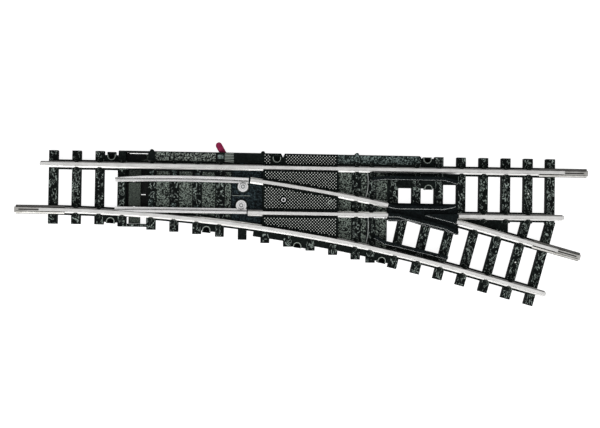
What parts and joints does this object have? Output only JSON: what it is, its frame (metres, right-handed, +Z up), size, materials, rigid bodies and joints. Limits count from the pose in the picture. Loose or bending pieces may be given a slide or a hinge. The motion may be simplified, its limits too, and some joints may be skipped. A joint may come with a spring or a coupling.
{
  "type": "model turnout switch",
  "caption": "Right-hand model railway turnout with pivoted switch blades, throw bar and side hand lever on a black sleeper moulding.",
  "frame": {"origin": "toe end of the straight route, on its centre line at the underside of the sleepers", "axes": "+X along the straight route away from the toe, +Y towards the lever side, +Z up"},
  "size_m": [0.1237, 0.0343, 0.004],
  "materials": {
    "sleeper_plastic": "moulded wood grain, knurled and stone-textured decks, near black",
    "frog_plastic": "smooth moulded, blue-black",
    "rail_metal": "rolled nickel silver, brushed along its length",
    "blade_metal": "polished nickel silver",
    "joiner_metal": "folded nickel-plated sheet",
    "steel": "bright steel",
    "contact_brass": "bare strip",
    "tinned_wire": "dull tinned wire",
    "bar_plastic": "grey-green moulded",
    "lever_plastic": "crimson moulded",
    "cover_plastic": "plain black"
  },
  "bodies": {
    "base": {"tie_base": "sleeper_plastic", "frog_insert": "frog_plastic", "straight_check_rail": "frog_plastic", "diverging_check_rail": "frog_plastic", "straight_stock_rail": "rail_metal", "curved_stock_rail": "rail_metal", "straight_closure_rail": "rail_metal", "curved_closure_rail": "rail_metal", "straight_frog_rail": "rail_metal", "diverging_frog_rail": "rail_metal", "toe_joiner": "joiner_metal", "heel_joiner": "joiner_metal", "branch_joiner": "joiner_metal", "straight_heel_rivet": "steel", "curved_heel_rivet": "steel", "straight_heel_contact": "contact_brass", "curved_heel_contact": "contact_brass", "straight_jumper_wire": "tinned_wire", "curved_jumper_wire": "tinned_wire", "bell_crank_pin": "steel", "lever_pivot_pin": "steel", "detent_spring": "steel", "bottom_cover": "cover_plastic", "cover_screws": "steel", "deck_screw": "steel"},
    "lever": {"hand_lever": "lever_plastic"},
    "wire": {"pull_wire": "steel"},
    "crank": {"bell_crank": "bar_plastic"},
    "bar": {"throw_bar": "bar_plastic", "throw_bar_pin": "steel"},
    "blade_straight": {"straight_blade": "blade_metal", "straight_drive_stud": "steel"},
    "blade_curved": {"curved_blade": "blade_metal", "curved_drive_stud": "steel"}
  },
  "joints": [
    {"name": "lever_swing", "type": "hinge", "parent": "base", "child": "lever", "pos_m": [0.03955, 0.00665, 0.0014], "axis": [0, 0, -1], "range_deg": [0, 60.05]},
    {"name": "wire_slide", "type": "slide", "parent": "base", "child": "wire", "axis": [1, 0, 0], "range_m": [0, 0.000978]},
    {"name": "crank_turn", "type": "hinge", "parent": "base", "child": "crank", "pos_m": [0.02325, 0.0061, 0.0015], "axis": [0, 0, -1], "range_deg": [0, 38.55]},
    {"name": "bar_slide", "type": "slide", "parent": "base", "child": "bar", "axis": [0, 1, 0], "range_m": [0, 0.002]},
    {"name": "straight_blade_turn", "type": "hinge", "parent": "base", "child": "blade_straight", "pos_m": [0.0429, -0.0033, 0.0024], "axis": [0, 0, -1], "range_deg": [0, 5.02]},
    {"name": "curved_blade_turn", "type": "hinge", "parent": "base", "child": "blade_curved", "pos_m": [0.0432, 0.00073, 0.0024], "axis": [0, 0, -1], "range_deg": [0, 4.96]}
  ],
  "couplings": [
    {"joint": "lever_swing", "follows": "bar_slide", "rad_per_m": 523.6},
    {"joint": "wire_slide", "follows": "bar_slide", "ratio": 0.488},
    {"joint": "crank_turn", "follows": "bar_slide", "rad_per_m": 336.02},
    {"joint": "straight_blade_turn", "follows": "bar_slide", "rad_per_m": 43.724},
    {"joint": "curved_blade_turn", "follows": "bar_slide", "rad_per_m": 43.157}
  ]
}
